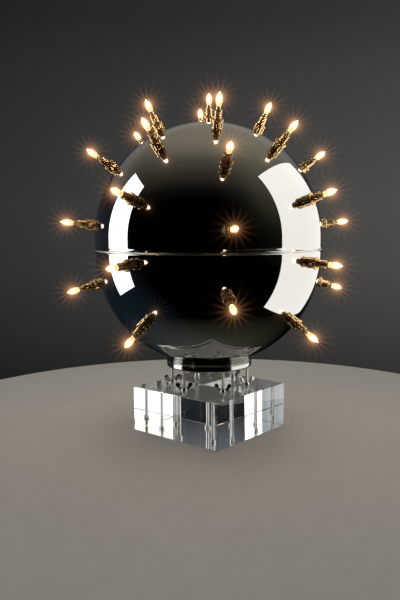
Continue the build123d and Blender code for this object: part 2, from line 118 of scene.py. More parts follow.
# --- one lamp, upright on the ball's skin ------------------------------------------------
TAIL_R = 4.95
TAIL_LONG = 8.0
TAIL_BORE_R = 3.0
BODY_R = 10.2
BODY_HIGH = 13.4
BODY_FLUTES = 12
FLUTE_DEPTH = 0.9
FLUTE_FOOT = 1.3
FLUTE_RUN_OUT = 0.8
SHOULDER_R = 11.6
SHOULDER_HIGH = 4.0
SLEEVE_R = 7.2
SLEEVE_WALL = 0.9
SLEEVE_SEAT = 12.0
SLEEVE_TOP = 34.0
SLEEVE_LIP_R = 0.78
CAP_R = 4.75
CAP_WALL = 0.45
CAP_FOOT = 21.5
CAP_TOP = 41.2
CAP_RIM_R = 5.5
CAP_PITCH = 1.81
CAP_THREAD_DEPTH = 0.42
CAP_THREAD_FOOT = 23.0
CAP_THREAD_TOP = 35.5
TIP_FOOT = 19.0
TIP_R = 2.3
GLASS_FOOT = 38.5
GLASS_NECK_R = 4.1
GLASS_BELLY = 50.5
GLASS_BELLY_R = 6.2
GLASS_TIP = 66.5
GLASS_WALL = 0.5
GLASS_TIP_THICK = 2.2
STEM_R = 1.2
STEM_FOOT = 36.0
STEM_TOP = 46.0
GLOW_MIDDLE = 54.5
GLOW_HALF_LONG = 5.2
GLOW_R = 2.9

# --- how fine the meshes are; the floor and the neck are the wide ones --------------------
BALL_SEGMENTS = 320
WIDE_SEGMENTS = 192
HOLDER_SEGMENTS = 72
NUT_SEGMENTS = 40
BULB_SEGMENTS = 32
STUD_SEGMENTS = 20
SHARP_ANGLE = math.radians(38)


# ======================================= outlines =========================================
def arc(centre_r, centre_z, radius, start, end, steps):
    """Points of a circular arc as (r, z); angles in degrees from the outward direction."""
    out = []
    for k in range(steps + 1):
        a = math.radians(start + (end - start) * k / steps)
        out.append((centre_r + radius * math.cos(a), centre_z + radius * math.sin(a)))
    return out


def eased(points, radius, steps=3):
    """The closed outline with each corner rounded; a point's own third number overrides radius."""
    out = []
    count = len(points)
    for i, corner in enumerate(points):
        r = corner[2] if len(corner) > 2 else radius
        here = Vector(corner[:2])
        back = Vector(points[i - 1][:2]) - here
        ahead = Vector(points[(i + 1) % count][:2]) - here
        reach = min(r, 0.45 * back.length, 0.45 * ahead.length)
        if reach <= 0 or here.x < 1e-6:
            out.append(tuple(here))
            continue
        a = here + back.normalized() * reach
        b = here + ahead.normalized() * reach
        for k in range(steps + 1):
            t = k / steps
            out.append(tuple(a * (1 - t) ** 2 + here * 2 * t * (1 - t) + b * t**2))
    return out


def spline(points, steps):
    """A smooth line through the points (Catmull-Rom), with steps stretches between neighbours."""
    pts = [Vector(p) for p in points]
    ends = [pts[0] * 2 - pts[1]] + pts + [pts[-1] * 2 - pts[-2]]
    out = []
    for i in range(1, len(ends) - 2):
        p0, p1, p2, p3 = ends[i - 1 : i + 3]
        for k in range(steps):
            t = k / steps
            linear = (p2 - p0) * t
            square = (p0 * 2 - p1 * 5 + p2 * 4 - p3) * t**2
            cubic = (p1 * 3 - p0 - p2 * 3 + p3) * t**3
            out.append(tuple(0.5 * (p1 * 2 + linear + square + cubic)))
    out.append(tuple(pts[-1]))
    return out


# ======================================== meshes ==========================================
class Shape:
    """Points (in millimetres) and faces that are put together before they become one mesh."""

    def __init__(self):
        self.points = []
        self.faces = []
        self.slots = []

    def add(self, points, faces, slot=0):
        first = len(self.points)
        self.points.extend(points)
        self.faces.extend([tuple(first + i for i in face) for face in faces])
        self.slots.extend([slot] * len(faces))

    def lathe(self, outline, segments, slot=0, closed=True, wobble=None):
        """Turns an (r, z) outline about the Z axis. Points on the axis become single poles.
        wobble(angle, z, r) may give another radius, as a thread does."""
        rings = []
        points = []
        for r, z in outline:
            if r < 1e-6:
                rings.append([len(points)])
                points.append((0.0, 0.0, z))
                continue
            ring = []
            for k in range(segments):
                a = 2 * math.pi * k / segments
                rr = wobble(a, z, r) if wobble else r
                ring.append(len(points))
                points.append((rr * math.cos(a), rr * math.sin(a), z))
            rings.append(ring)
        faces = []
        pairs = list(zip(rings, rings[1:]))
        if closed and len(rings[0]) > 1:
            pairs.append((rings[-1], rings[0]))
        for low, high in pairs:
            for k in range(segments):
                n = (k + 1) % segments
                if len(low) == 1 and len(high) == 1:
                    break
                if len(low) == 1:
                    faces.append((low[0], high[n], high[k]))
                elif len(high) == 1:
                    faces.append((low[k], low[n], high[0]))
                else:
                    faces.append((low[k], low[n], high[n], high[k]))
        self.add(points, faces, slot)

    def placed(self, matrices):
        """A new shape: this one repeated at each matrix, whose own lengths are in millimetres."""
        out = Shape()
        local = np.array(self.points)
        for m in matrices:
            turn = np.array(m.to_3x3())
            shift = np.array(m.translation)
            out.add([tuple(p) for p in local @ turn.T + shift], self.faces)
            out.slots[-len(self.faces) :] = self.slots
        return out

    def mesh(self, name, materials):
        me = bpy.data.meshes.new(name)
        me.from_pydata([(x * MM, y * MM, z * MM) for x, y, z in self.points], [], self.faces)
        for material in materials:
            me.materials.append(material)
        me.polygons.foreach_set("material_index", self.slots)
        me.polygons.foreach_set("use_smooth", [True] * len(self.faces))
        me.set_sharp_from_angle(angle=SHARP_ANGLE)
        me.update()
        return me


def show(name, mesh, body, nodes=(), matrix=None):
    """Puts a mesh in the scene as one piece that rides on a body and stands for CAD nodes."""
    piece = bpy.data.objects.new(name, mesh)
    bpy.context.scene.collection.objects.link(piece)
    if matrix is not None:
        piece.matrix_world = matrix
    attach(piece, body)
    if nodes:
        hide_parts(*nodes)
    return piece


# ======================================= materials ========================================
def new_material(name, **inputs):
    """A Principled material; inputs are its sockets by name, with _ for a space."""
    material = bpy.data.materials.new(name)
    material.use_nodes = True
    shader = material.node_tree.nodes["Principled BSDF"]
    for key, value in inputs.items():
        socket = shader.inputs[key.replace("_", " ")]
        if socket.type == "RGBA" and len(value) == 3:
            value = (*value, 1.0)
        socket.default_value = value
    return material, material.node_tree, shader


def node(tree, kind, **settings):
    """A new node; settings named in_X set input X, the others set the node's own properties."""
    made = tree.nodes.new(kind)
    for key, value in settings.items():
        if key.startswith("in_"):
            made.inputs[key[3:].replace("_", " ")].default_value = value
        else:
            setattr(made, key, value)
    return made


def ramp(tree, source, low, high, low_value, high_value):
    """Maps source from low..high to low_value..high_value and returns the result's socket."""
    made = node(tree, "ShaderNodeMapRange", clamp=True)
    for name, value in (
        ("From Min", low),
        ("From Max", high),
        ("To Min", low_value),
        ("To Max", high_value),
    ):
        made.inputs[name].default_value = value
    tree.links.new(source, made.inputs["Value"])
    return made.outputs["Result"]


def noise(tree, scale, stretch=(1, 1, 1), detail=3.0, rough=0.5):
    """Noise in the object's own coordinates, stretched along the axes."""
    coord = node(tree, "ShaderNodeTexCoord")
    mapping = node(tree, "ShaderNodeMapping", in_Scale=stretch)
    made = node(tree, "ShaderNodeTexNoise", in_Scale=scale, in_Detail=detail, in_Roughness=rough)
    tree.links.new(coord.outputs["Object"], mapping.inputs["Vector"])
    tree.links.new(mapping.outputs["Vector"], made.inputs["Vector"])
    return made.outputs["Fac"]


def bump(tree, shader, height, strength, distance):
    made = node(tree, "ShaderNodeBump", in_Strength=strength, in_Distance=distance)
    tree.links.new(height, made.inputs["Height"])
    tree.links.new(made.outputs["Normal"], shader.inputs["Normal"])


def tint(tree, shader, fac, dark, light, socket="Base Color"):
    """A colour, as a rule the base colour, that runs from dark to light with fac."""
    made = node(tree, "ShaderNodeMix", data_type="RGBA")
    made.inputs["A"].default_value = (*dark, 1.0)
    made.inputs["B"].default_value = (*light, 1.0)
    tree.links.new(fac, made.inputs["Factor"])
    tree.links.new(made.outputs["Result"], shader.inputs[socket])


def roughen(tree, shader, fac, smooth, rough, low=0.3, high=0.7):
    """Roughness that runs from smooth to rough while fac goes from low to high."""
    tree.links.new(ramp(tree, fac, low, high, smooth, rough), shader.inputs["Roughness"])


def polished_ball():
    """Spun, plated and polished metal: a clean mirror with faint turning lines round its axis."""
    material, tree, shader = new_material(
        "polished_ball", Metallic=1.0, Base_Color=(0.70, 0.70, 0.71), Roughness=0.02
    )
    lines = noise(tree, 1.0, stretch=(6, 6, 900), detail=2.0)
    roughen(tree, shader, lines, 0.012, 0.045, low=0.35, high=0.75)
    waves = noise(tree, 1.0, stretch=(5, 5, 14), detail=1.0)
    bump(tree, shader, waves, 0.02, 0.004)
    return material


def spun_inside():
    """The ball's unpolished inside, with coarse spinning marks."""
    material, tree, shader = new_material(
        "spun_inside", Metallic=1.0, Base_Color=(0.45, 0.44, 0.42), Roughness=0.45
    )
    lines = noise(tree, 1.0, stretch=(4, 4, 520), detail=3.0)
    roughen(tree, shader, lines, 0.34, 0.6)
    tint(tree, shader, lines, (0.34, 0.33, 0.31), (0.52, 0.51, 0.49))
    bump(tree, shader, lines, 0.25, 0.0004)
    return material


def bright_metal():
    """Polished steel of the flange and the wing nuts, with fine rings left by the tool."""
    material, tree, shader = new_material(
        "bright_metal", Metallic=1.0, Base_Color=(0.66, 0.66, 0.67), Roughness=0.1
    )
    lines = noise(tree, 1.0, stretch=(8, 8, 2600), detail=2.0)
    roughen(tree, shader, lines, 0.06, 0.16)
    bump(tree, shader, lines, 0.08, 0.0002)
    return material


def collar_steel_painted_shade():
    """Polished steel of the ringed collar, its colour darkened as painted shade of the collar under
    the ball's overhang, with the same fine tool rings.
    """
    material, tree, shader = new_material(
        # painted shade: the same polished steel as the flange, given a darker base colour
        "collar_steel_painted_shade", Metallic=1.0, Base_Color=(0.4, 0.4, 0.36), Roughness=0.1
    )
    lines = noise(tree, 1.0, stretch=(8, 8, 2600), detail=2.0)
    roughen(tree, shader, lines, 0.08, 0.2)
    tint(tree, shader, lines, (0.34, 0.34, 0.3), (0.46, 0.46, 0.42))
    return material


def plated_steel():
    """Zinc-bright steel of the studs, washers, screws, inner rings and cable inlet."""
    material, tree, shader = new_material(
        "plated_steel", Metallic=1.0, Base_Color=(0.8, 0.77, 0.7), Roughness=0.4
    )
    grain = noise(tree, 260.0, detail=3.0)
    roughen(tree, shader, grain, 0.28, 0.46)
    tint(tree, shader, grain, (0.72, 0.68, 0.6), (0.86, 0.83, 0.76))
    return material


def pale_steel():
    """Dull zinc of the nuts sunk in the block, paler where the plating is thick."""
    material, tree, shader = new_material(
        "pale_steel", Metallic=0.6, Base_Color=(0.9, 0.88, 0.82), Roughness=0.5
    )
    grain = noise(tree, 320.0, detail=3.0)
    tint(tree, shader, grain, (0.84, 0.82, 0.75), (0.93, 0.91, 0.86))
    return material


def turned_brass():
    """Warm polished brass with slightly darker patches where it has tarnished."""
    material, tree, shader = new_material(
        "turned_brass", Metallic=1.0, Base_Color=(0.82, 0.56, 0.28), Roughness=0.2
    )
    patches = noise(tree, 90.0, detail=3.0)
    roughen(tree, shader, patches, 0.15, 0.3)
    tint(tree, shader, patches, (0.72, 0.45, 0.18), (0.92, 0.67, 0.37))
    return material


def cap_metal():
    """Pale rolled brass of the bulbs' screw caps."""
    material, tree, shader = new_material(
        "cap_metal", Metallic=1.0, Base_Color=(0.8, 0.66, 0.42), Roughness=0.2
    )
    patches = noise(tree, 140.0, detail=2.0)
    tint(tree, shader, patches, (0.7, 0.55, 0.32), (0.86, 0.74, 0.5))
    return material


def clear_block():
    """Flame-polished acrylic, very faintly uneven in colour."""
    material, tree, shader = new_material(
        "clear_block",
        Base_Color=(0.975, 0.99, 0.985),
        Roughness=0.0,
        IOR=1.49,
        Transmission_Weight=1.0,
    )
    clouds = noise(tree, 14.0, detail=1.0)
    tint(tree, shader, clouds, (0.972, 0.988, 0.982), (0.98, 0.992, 0.988))
    return material


def bulb_glass():
    """Clear glass, a little warm, that itself gives off a faint warm painted glow standing in for
    the filament's light in the glass.
    """
    material, tree, shader = new_material(
        "bulb_glass",
        Base_Color=(1.0, 0.97, 0.92),
        Roughness=0.0,
        IOR=1.45,
        Transmission_Weight=1.0,
        # painted glow: the glass gives off a faint warm light of its own
        Emission_Color=(1.0, 0.5, 0.24),
        Emission_Strength=0.3,
    )
    clouds = noise(tree, 60.0, detail=1.0)
    tint(tree, shader, clouds, (1.0, 0.95, 0.89), (1.0, 0.98, 0.95))
    return material


def glowing():
    """The lit filament and the bright cloud round it, more amber towards the cloud's edge."""
    material, tree, shader = new_material(
        "glowing", Base_Color=(1.0, 0.8, 0.5), Emission_Strength=130.0
    )
    edge = node(tree, "ShaderNodeLayerWeight", in_Blend=0.35).outputs["Facing"]
    tint(tree, shader, edge, (1.0, 0.89, 0.75), (1.0, 0.74, 0.46), "Emission Color")
    return material


def moulded(name, dark, light, roughness):
    """Moulded plastic or porcelain with a fine sparkle of grain."""
    material, tree, shader = new_material(name, Base_Color=light, Roughness=roughness)
    grain = noise(tree, 700.0, detail=2.0)
    tint(tree, shader, grain, dark, light)
    bump(tree, shader, grain, 0.15, 0.0002)
    return material


BALL = polished_ball()
INSIDE = spun_inside()
BRIGHT = bright_metal()
SHADE_DARKENED_STEEL = collar_steel_painted_shade()
STEEL = plated_steel()
PALE_STEEL = pale_steel()
BRASS = turned_brass()
CAP = cap_metal()
CLEAR = clear_block()
GLASS = bulb_glass()
GLOW = glowing()
PHENOLIC = moulded("phenolic", (0.03, 0.022, 0.018), (0.06, 0.045, 0.035), 0.4)
CERAMIC = moulded("terminal_white", (0.62, 0.6, 0.55), (0.74, 0.72, 0.66), 0.35)


def dress(names, material):
    """Gives the CAD nodes a better material."""
    for name in names:
        mesh_object = frame["nodes"][name]
        for slot in mesh_object.material_slots:
            slot.material = material


dress(["acrylic_block"], CLEAR)
dress(["base_nuts"], PALE_STEEL)
dress(["neck_clamp_ring", "neck_screws", "seam_joint_ring", "cable_inlet"], STEEL)
dress(["terminal_block"], CERAMIC)
dress(["holder_inserts_upper", "holder_inserts_lower"], PHENOLIC)
dress(["holder_nuts_upper", "holder_nuts_lower"], BRASS)


# ========================================= ball ===========================================
def sphere_foot(radius, at_r):
    """Angle below the outward direction at which a sphere is at_r from the axis, in degrees."""
    return -math.degrees(math.acos(at_r / radius))


def lower_half():
    inner = BALL_R - SKIN
    lip = SEAM_Z - SEAM_HALF_GAP
    outline = arc(0, LOWER_CENTRE_Z, BALL_R, sphere_foot(BALL_R, NECK_OPENING_R), 0, 96)
    outline += arc(BALL_R - LIP_ROLL_R, lip - LIP_ROLL_R, LIP_ROLL_R, 0, 90, 10)
    skin = Shape()
    skin.lathe(outline, BALL_SEGMENTS, closed=False)
    back = [outline[-1], (LIP_INNER_R, lip), (LIP_INNER_R, lip - 1.6)]
    back += arc(0, LOWER_CENTRE_Z, inner, 0, sphere_foot(inner, NECK_OPENING_R), 60)
    back.append(outline[0])
    skin.lathe(back, BALL_SEGMENTS, slot=1, closed=False)
    mesh = skin.mesh("half_shell_lower", [BALL, INSIDE])
    show("half_shell_lower", mesh, "base", ["lower_shell"])


def upper_half():
    inner = BALL_R - SKIN
    lip = SEAM_Z + SEAM_HALF_GAP
    bead_r = BALL_R + UPPER_LIP_PROUD
    bead_top = lip + 2 * LIP_ROLL_R
    outline = [(bead_r - LIP_ROLL_R, lip)]
    outline += arc(bead_r - LIP_ROLL_R, lip + LIP_ROLL_R, LIP_ROLL_R, -90, 0, 10)[1:]
    outline += spline([outline[-1], (bead_r - 0.35, bead_top - 1.6), (BALL_R, bead_top)], 5)[1:]
    outline += [(BALL_R, bead_top + k * (UPPER_CENTRE_Z - bead_top) / 6) for k in range(1, 6)]
    outline += arc(0, UPPER_CENTRE_Z, BALL_R, 0, 90, 110)
    outline[-1] = (0.0, UPPER_CENTRE_Z + BALL_R)
    skin = Shape()
    skin.lathe(outline, BALL_SEGMENTS, closed=False)
    back = arc(0, UPPER_CENTRE_Z, inner, 90, 0, 60)
    back[0] = (0.0, UPPER_CENTRE_Z + inner)
    back += [(inner, bead_top), (LIP_INNER_R, bead_top - 2), (LIP_INNER_R, lip), outline[0]]
    skin.lathe(back, BALL_SEGMENTS, slot=1, closed=False)
    mesh = skin.mesh("half_shell_upper", [BALL, INSIDE])
    show("half_shell_upper", mesh, "upper_ball", ["upper_shell"])


# ========================================= neck ===========================================
def flange():
    section = [
        (INLET_THREAD_R, FLANGE_FOOT_Z, 0.4),
        (FLANGE_R, FLANGE_FOOT_Z, FLANGE_FOOT_ROUND),
        (FLANGE_R, FLANGE_TOP_Z, FLANGE_TOP_ROUND),
        (INLET_THREAD_R, FLANGE_TOP_Z, 0.4),
    ]
    disc = Shape()
    disc.lathe(eased(section, 1.0, steps=5), WIDE_SEGMENTS)
    mesh = disc.mesh("neck_flange", [BRIGHT])
    show("neck_flange", mesh, "base", ["mounting_flange"])


def collar():
    """The ringed collar between the flange and the ball. Its rings get narrower upwards; each has a
    round crest and straight flanks at 45 degrees."""
    groove_z = FLANGE_TOP_Z + COLLAR_GROOVE_HIGH
    seat_r = BALL_R + 0.05
    top_z = LOWER_CENTRE_Z - math.sqrt(seat_r**2 - COLLAR_TOP_R**2)
    pitch = (top_z - groove_z) / COLLAR_RINGS
    half_crest = math.sin(math.radians(45)) * RING_CREST_R
    flank = pitch / 2 - half_crest
    narrowing = (COLLAR_FOOT_R - COLLAR_TOP_R - 0.6) / (COLLAR_RINGS - 1)
    outline = [
        (COLLAR_BORE_R, FLANGE_TOP_Z),
        (COLLAR_GROOVE_R, FLANGE_TOP_Z),
        (COLLAR_GROOVE_R, groove_z),
    ]
    for k in range(COLLAR_RINGS):
        crest_middle_r = COLLAR_FOOT_R - narrowing * k - RING_CREST_R
        middle_z = groove_z + (k + 0.5) * pitch
        outline.append((crest_middle_r + half_crest - flank, groove_z + k * pitch + 0.05))
        outline += arc(crest_middle_r, middle_z, RING_CREST_R, -45, 45, 6)
    outline.append((COLLAR_TOP_R - 0.6, top_z - 0.4))
    seat_from = sphere_foot(seat_r, COLLAR_TOP_R - 1.5)
    seat_to = sphere_foot(seat_r, COLLAR_BORE_R)
    outline += arc(0, LOWER_CENTRE_Z, seat_r, seat_from, seat_to, 8)
    turned = Shape()
    turned.lathe(outline, WIDE_SEGMENTS)
    mesh = turned.mesh("neck_bead", [SHADE_DARKENED_STEEL])
    show("neck_bead", mesh, "base", ["neck_collar"])


# ============================ studs, washers and wing nuts ================================
def stud_centres():
    """The six stud axes, from the wing nuts' own joints, in millimetres."""
    turns = [j for j in frame["joints"] if j["name"].startswith("wing_nut")]
    return [(j["child"], Vector(j["pos_m"]) / MM) for j in turns]


def studs():
    foot_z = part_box("threaded_studs")[0].z / MM
    top_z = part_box("threaded_studs")[1].z / MM
    chamfer = 0.6
    row_high = THREAD_PITCH / 4

    def thread(angle, z, r):
        if r != STUD_R:
            return r
        phase = (z / THREAD_PITCH - angle / (2 * math.pi)) % 1.0
        ridge = 1 - abs(2 * phase - 1)
        return r - THREAD_DEPTH * (1 - min(1.0, ridge * THREAD_STEEPNESS))

    rows = int((top_z - foot_z - 2 * chamfer) / row_high)
    outline = [(0.0, foot_z), (STUD_TIP_R, foot_z)]
    outline += [(STUD_R, foot_z + chamfer + k * row_high) for k in range(rows + 1)]
    outline += [(STUD_TIP_R, top_z), (0.0, top_z)]
    rod = Shape()
    rod.lathe(outline, STUD_SEGMENTS, closed=False, wobble=thread)
    places = [Matrix.Translation((c.x, c.y, 0)) for _, c in stud_centres()]
    mesh = rod.placed(places).mesh("stud_rods", [STEEL])
    show("stud_rods", mesh, "base", ["threaded_studs"])


def washers():
    """Two under each stud's nuts: one in the block's pocket and one on top of the block."""
    ring = Shape()
    for foot in (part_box("stud_washers")[0].z / MM, BLOCK_TOP_Z):
        top = foot + WASHER_THICK
        section = [(WASHER_BORE_R, foot), (WASHER_R, foot), (WASHER_R, top), (WASHER_BORE_R, top)]
        ring.lathe(eased(section, 0.3), NUT_SEGMENTS)
    places = [Matrix.Translation((c.x, c.y, 0)) for _, c in stud_centres()]
    mesh = ring.placed(places).mesh("washers", [STEEL])
    show("washers", mesh, "base", ["stud_washers"])


def wing_plate():
    """Outline of one wing, in the plane through the stud: x outwards, z up."""
    lobe = arc(WING_SPAN / 2 - WING_TIP_R, WING_HIGH - WING_TIP_R, WING_TIP_R, -32, 136, 14)
    root = (WING_HUB_FOOT_R - 0.6, 1.0)
    below = (WING_HUB_FOOT_R + 4.2, 4.2)
    above = (WING_HUB_TOP_R + 1.4, WING_HUB_HIGH + 0.4)
    inside_hub = (0.0, WING_HUB_HIGH - 2.0)
    outer = spline([root, below, lobe[0]], 5)
    inner = spline([lobe[-1], above, inside_hub], 5)
    return [(0.0, 1.0)] + outer + lobe[1:] + inner[1:]


def wing(side, bore):
    """Points and faces of the wing on one side (-1 or 1), with its edges rounded."""
    outline = [(side * x, z) for x, z in wing_plate() if x >= bore + 0.4]
    count = len(outline)
    middle = Vector((sum(x for x, _ in outline), sum(z for _, z in outline))) / count
    steps = [(inset, -y) for inset, y in WING_ROUNDING] + list(WING_ROUNDING[::-1])
    points = []
    for inset, y in steps:
        for x, z in outline:
            away = Vector((x, z)) - middle
            pulled = Vector((x, z)) - away.normalized() * inset
            points.append((pulled.x, y * WING_THICK / 2, pulled.y))
    faces = []
    for row in range(len(steps) - 1):
        low = row * count
        high = low + count
        for k in range(count):
            n = (k + 1) % count
            faces.append((low + k, low + n, high + n, high + k))
    faces.append(tuple(range(count))[::-1])
    faces.append(tuple(range(len(points) - count, len(points))))
    if side > 0:
        faces = [face[::-1] for face in faces]
    return points, faces


def wing_nut_shape():
    bore = STUD_R + 0.05
    hub = [
        (bore, 0.0),
        (WING_HUB_FOOT_R, 0.0),
        (WING_HUB_FOOT_R, 1.4),
        (WING_HUB_TOP_R, WING_HUB_HIGH),
        (bore, WING_HUB_HIGH),
    ]
    nut = Shape()
    nut.lathe(eased(hub, 0.7), NUT_SEGMENTS)
    for side in (-1, 1):
        nut.add(*wing(side, bore))
    return nut


def wing_nuts():
    mesh = wing_nut_shape().mesh("wing_nut", [BRIGHT])
    for k, (body, centre) in enumerate(stud_centres()):
        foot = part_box(f"wing_nut_{k + 1}")[0].z
        place = Matrix.Translation((centre.x * MM, centre.y * MM, foot))
        place = place @ Matrix.Rotation(math.radians(WING_TURNS[k]), 4, "Z")
        show(f"winged_nut_{k + 1}", mesh, body, [f"wing_nut_{k + 1}"], place)


# ========================================= lamps ==========================================
def lamps():
    """Each bulb's number, body, parent body and upright-to-place matrix in millimetres."""
    out = []
    for j in frame["joints"]:
        if not j["name"].startswith("bulb"):
            continue
        out_way = Vector(j["axis"]).normalized()
        centre_z = UPPER_CENTRE_Z if j["parent"] == "upper_ball" else LOWER_CENTRE_Z
        sideways = UP.cross(out_way).normalized()
        turn = Matrix((sideways, out_way.cross(sideways), out_way)).transposed().to_4x4()
        foot = Vector((0, 0, centre_z)) + out_way * BALL_R
        out.append((j["name"][5:7], j["child"], j["parent"], Matrix.Translation(foot) @ turn))
    return out


LAMPS = lamps()


def holder_body():
    """The body on the ball's skin: a tail through the skin, a foot rim, flutes and a shoulder."""
    flutes_end = BODY_HIGH - 1.2
    rim_r = BODY_R + 0.3
    waist_r = BODY_R - 0.4
    socket_r = SLEEVE_R + 0.05
    top = BODY_HIGH + SHOULDER_HIGH

    def fluted(angle, z, r):
        """Hollows run lengthwise between narrow ridges and die out towards both ends."""
        if r != BODY_R:
            return r
        fade_in = (z - FLUTE_FOOT) / FLUTE_RUN_OUT + 0.2
        fade_out = (flutes_end - z) / FLUTE_RUN_OUT + 0.2
        wave = abs(math.cos(angle * BODY_FLUTES / 2))
        return r - FLUTE_DEPTH * wave * min(1.0, fade_in, fade_out)

    tail_and_rim = [
        (TAIL_BORE_R, -TAIL_LONG, 0.2),
        (TAIL_R, -TAIL_LONG, 0.5),
        (TAIL_R, 0, 0.02),
        (rim_r, 0, 0.3),
        (rim_r, 1.0, 0.2),
    ]
    rows = 8
    row_high = (flutes_end - FLUTE_FOOT) / rows
    shoulder = [
        (SHOULDER_R - 1.1, BODY_HIGH + 0.05),
        (SHOULDER_R - 0.2, BODY_HIGH + 0.5),
        (SHOULDER_R, BODY_HIGH + SHOULDER_HIGH / 2),
        (SHOULDER_R - 0.2, top - 0.5),
        (SHOULDER_R - 1.1, top),
    ]
    outline = eased(tail_and_rim, 0.3)[:-1]
    outline += [(BODY_R, FLUTE_FOOT + k * row_high) for k in range(rows + 1)]
    outline += [(waist_r, BODY_HIGH - 0.5), (waist_r, BODY_HIGH)]
    outline += spline(shoulder, 3)
    outline += [(SLEEVE_R + 1.2, top), (SLEEVE_R + 0.9, top - 0.9), (socket_r, top - 0.9)]
    outline += [(socket_r, SLEEVE_SEAT), (TAIL_BORE_R, SLEEVE_SEAT)]
    body = Shape()
    body.lathe(outline, HOLDER_SEGMENTS, wobble=fluted)
    return body


def holder_sleeve():
    """The threaded tube for the bulb's cap, with a rolled lip."""
    inner_r = SLEEVE_R - SLEEVE_WALL
    foot = SLEEVE_SEAT + 0.05
    outline = [(inner_r, foot), (SLEEVE_R, foot), (SLEEVE_R, SLEEVE_TOP - 1.6)]
    outline += arc(SLEEVE_R - 0.25, SLEEVE_TOP - 0.8, SLEEVE_LIP_R, -70, 90, 8)
    outline.append((inner_r, SLEEVE_TOP - 0.1))
    sleeve = Shape()
    sleeve.lathe(outline, HOLDER_SEGMENTS)
    return sleeve


def holders():
    for half, parent in (("upper", "upper_ball"), ("lower", "base")):
        places = [m for _, _, p, m in LAMPS if p == parent]
        for stem, shape, stands_for in (
            ("holder_body", holder_body(), "holder_bodies"),
            ("holder_sleeve", holder_sleeve(), "holder_sleeves"),
        ):
            mesh = shape.placed(places).mesh(f"{stem}_{half}", [BRASS])
            show(f"{stem}_{half}", mesh, parent, [f"{stands_for}_{half}"])


def glass_shape():
    """The blown flame: a thin wall with a solid tip, open at the foot inside the cap."""
    rest = GLASS_TIP - GLASS_BELLY
    waypoints = [
        (GLASS_NECK_R, GLASS_FOOT),
        (GLASS_NECK_R, CAP_TOP + 0.2),
        (GLASS_BELLY_R - 0.6, GLASS_BELLY - 4.5),
        (GLASS_BELLY_R, GLASS_BELLY),
        (GLASS_BELLY_R * 0.88, GLASS_BELLY + 0.4 * rest),
        (GLASS_BELLY_R * 0.58, GLASS_BELLY + 0.7 * rest),
        (GLASS_BELLY_R * 0.22, GLASS_BELLY + 0.9 * rest),
        (0.5, GLASS_TIP - 0.1),
    ]
    outer = spline(waypoints, 5) + [(0.0, GLASS_TIP)]
    hollow_top = GLASS_TIP - GLASS_TIP_THICK
    inner = [(max(0.0, r - GLASS_WALL), z) for r, z in outer if z < hollow_top]
    inner.append((0.0, hollow_top))
    glass = Shape()
    glass.lathe(inner[::-1] + outer, BULB_SEGMENTS, closed=False)
    return glass


def core_shape():
    """Screw cap (slot 0), stem (slot 0) and glowing filament cloud (slot 1)."""
    inner_r = CAP_R - CAP_WALL
    row_high = CAP_PITCH / 8
    rows = int((CAP_THREAD_TOP - CAP_THREAD_FOOT) / row_high)

    def rolled(angle, z, r):
        if r != CAP_R or z > CAP_THREAD_TOP:
            return r
        phase = 2 * math.pi * (z / CAP_PITCH) - angle
        return r - CAP_THREAD_DEPTH * 0.5 * (1 - math.cos(phase))

    contact = [
        (0.0, TIP_FOOT),
        (TIP_R * 0.6, TIP_FOOT),
        (TIP_R, TIP_FOOT + 0.8),
        (TIP_R, CAP_FOOT),
        (CAP_R - 0.9, CAP_FOOT),
        (CAP_R - 0.45, CAP_FOOT + 0.7),
    ]
    threaded = [(CAP_R, CAP_THREAD_FOOT + k * row_high) for k in range(rows + 1)]
    rim = [
        (CAP_R, CAP_THREAD_TOP + 0.7),
        (CAP_R, CAP_TOP - 1.2),
        (CAP_RIM_R, CAP_TOP - 0.15),
        (CAP_RIM_R - 0.15, CAP_TOP),
        (inner_r, CAP_TOP),
        (inner_r, CAP_FOOT + 1.6),
        (0.0, CAP_FOOT + 1.6),
    ]
    core = Shape()
    core.lathe(contact + threaded + rim, BULB_SEGMENTS, closed=False, wobble=rolled)
    stem = [
        (0.0, STEM_FOOT),
        (STEM_R, STEM_FOOT),
        (STEM_R, STEM_TOP - 2),
        (STEM_R * 0.6, STEM_TOP),
        (0.0, STEM_TOP),
    ]
    core.lathe(stem, BULB_SEGMENTS // 2, closed=False)
    core.lathe(glow_outline(12), BULB_SEGMENTS // 2, slot=1, closed=False)
    return core


def glow_outline(steps):
    """A drop about the filament, longer above its middle than below."""
    out = []
    for k in range(steps + 1):
        a = math.pi * k / steps
        half_long = GLOW_HALF_LONG * (1.25 if k > steps / 2 else 0.75)
        r = GLOW_R * math.sin(a) if 0 < k < steps else 0.0
        out.append((r, GLOW_MIDDLE - half_long * math.cos(a)))
    return out


def bulbs():
    glass = glass_shape().mesh("bulb_envelope", [GLASS])
    core = core_shape().mesh("bulb_core", [CAP, GLOW])
    for number, body, _, place in LAMPS:
        metres = place.copy()
        metres.translation *= MM
        stands_for = [f"bulb_{number}"]
        envelope = show(f"bulb_glass_{number}", glass, body, stands_for, metres)
        envelope.visible_shadow = False
        show(f"bulb_core_{number}", core, body, (), metres)


lower_half()
upper_half()
flange()
collar()
studs()
washers()
wing_nuts()
holders()
bulbs()


